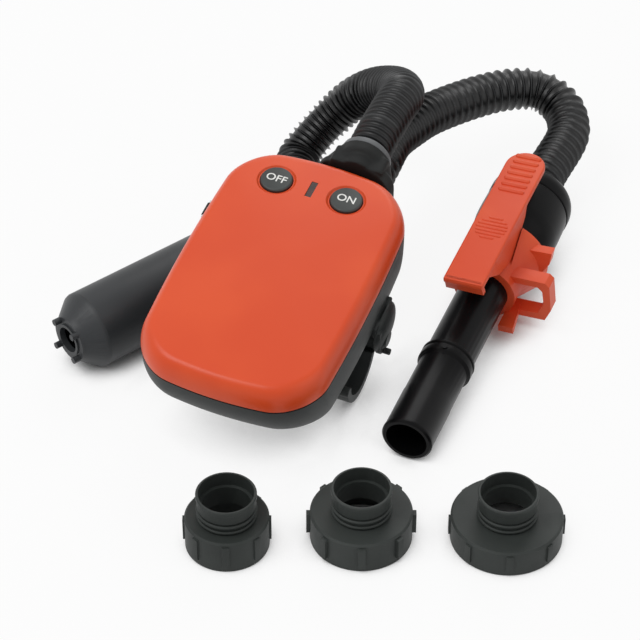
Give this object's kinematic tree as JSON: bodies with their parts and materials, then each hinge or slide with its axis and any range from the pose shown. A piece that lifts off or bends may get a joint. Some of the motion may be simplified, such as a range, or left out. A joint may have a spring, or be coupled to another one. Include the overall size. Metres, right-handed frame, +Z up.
{
  "type": "electric fuel transfer pump",
  "caption": "Battery control box with push buttons, ribbed hoses, a submersible pump head, a discharge nozzle with a sprung clip, and loose filler adapters.",
  "frame": {"origin": "centre of the bottom of the box around the kit without its two hoses, on the surface it lies on", "axes": "+X to the right in the picture, along the row of adapters; +Y away from the viewer; +Z up"},
  "size_m": [0.2471, 0.3041, 0.0825],
  "materials": {
    "orange_plastic": "glossy moulded",
    "clip_orange": "satin moulded",
    "black_plastic": "satin moulded",
    "pump_plastic": "satin moulded",
    "black_rubber": "smooth rubber",
    "hose_rubber": "ribbed, slight sheen",
    "button_black": "satin moulded",
    "adapter_plastic": "matt moulded",
    "dark_window": "smoked window",
    "light_white": "small lamp",
    "board_green": "printed board",
    "cell_wrap": "shrink wrap",
    "steel": "turned",
    "contact_brass": "pressed sheet",
    "white_plastic": "moulded",
    "duct_plastic": "moulded"
  },
  "bodies": {
    "control_box_and_hoses": {"front_cover": "orange_plastic", "rear_shell": "black_plastic", "parting_seal": "black_rubber", "tact_switches": "steel", "light_window": "dark_window", "charge_lights": "light_white", "circuit_board": "board_green", "battery_cells": "cell_wrap", "battery_tray": "duct_plastic", "battery_contacts": "contact_brass", "charge_socket": "duct_plastic", "cap_hinge_pin": "steel", "case_screws": "steel", "hook_bracket": "black_plastic", "hook_pin": "steel", "hose_boot": "black_rubber", "flow_duct": "duct_plastic", "inlet_hose": "hose_rubber", "outlet_hose": "hose_rubber", "pump_hose_cuff": "black_rubber", "pump_housing": "pump_plastic", "pump_end_cap": "pump_plastic", "end_cap_seal": "black_rubber", "intake_cone": "pump_plastic", "cone_seal": "black_rubber", "strainer": "steel", "motor_can": "steel", "motor_cradle": "duct_plastic", "shaft_seal": "black_rubber", "spout_tube": "black_plastic", "coupling_body": "black_plastic", "coupling_cap": "black_plastic", "coupling_seal": "black_rubber", "hose_barb": "duct_plastic", "level_sensor": "duct_plastic", "clip_saddle": "clip_orange", "clip_pin": "steel", "clip_spring": "steel"},
    "button_off": {"button_off": "button_black"},
    "button_on": {"button_on": "button_black"},
    "charge_cap": {"charge_cap": "black_rubber"},
    "hanging_hook": {"hanging_hook": "black_plastic"},
    "impeller": {"impeller": "white_plastic", "motor_shaft": "steel"},
    "clip_lever": {"clip_lever": "clip_orange"},
    "adapter_small": {"adapter_small": "adapter_plastic", "gasket_small": "black_rubber"},
    "adapter_medium": {"adapter_medium": "adapter_plastic", "gasket_medium": "black_rubber"},
    "adapter_large": {"adapter_large": "adapter_plastic", "gasket_large": "black_rubber"}
  },
  "joints": [
    {"name": "button_off_press", "type": "slide", "parent": "control_box_and_hoses", "child": "button_off", "axis": [-0.0025, 0.182, -0.9833], "range_m": [0, 0.0012], "stiffness_N_per_m": 400, "springref_m": -0.0008},
    {"name": "button_on_press", "type": "slide", "parent": "control_box_and_hoses", "child": "button_on", "axis": [-0.0025, 0.182, -0.9833], "range_m": [0, 0.0012], "stiffness_N_per_m": 400, "springref_m": -0.0008},
    {"name": "charge_cap_hinge", "type": "hinge", "parent": "control_box_and_hoses", "child": "charge_cap", "pos_m": [-0.04896, 0.054, 0.05779], "axis": [0.3706, 0.9135, 0.1681], "range_deg": [0, 110]},
    {"name": "hook_hinge", "type": "hinge", "parent": "control_box_and_hoses", "child": "hanging_hook", "pos_m": [0.02305, 0.01489, 0.01935], "axis": [0.9288, -0.364, -0.0698], "range_deg": [0, 110]},
    {"name": "impeller_spin", "type": "hinge", "parent": "control_box_and_hoses", "child": "impeller", "pos_m": [-0.09182, 0.02757, 0.0177], "axis": [-0.7738, -0.6334, 0], "continuous": true},
    {"name": "clip_squeeze", "type": "hinge", "parent": "control_box_and_hoses", "child": "clip_lever", "pos_m": [0.07798, 0.05377, 0.0403], "axis": [-0.9215, 0.3858, -0.0435], "range_deg": [0, 5], "stiffness_Nm_per_rad": 1.2, "springref_deg": -8.59},
    {"name": "adapter_small_lift", "type": "slide", "parent": "control_box_and_hoses", "child": "adapter_small", "axis": [0, 0, 1], "range_m": [0, 0.06]},
    {"name": "adapter_medium_lift", "type": "slide", "parent": "control_box_and_hoses", "child": "adapter_medium", "axis": [0, 0, 1], "range_m": [0, 0.06]},
    {"name": "adapter_large_lift", "type": "slide", "parent": "control_box_and_hoses", "child": "adapter_large", "axis": [0, 0, 1], "range_m": [0, 0.06]}
  ]
}
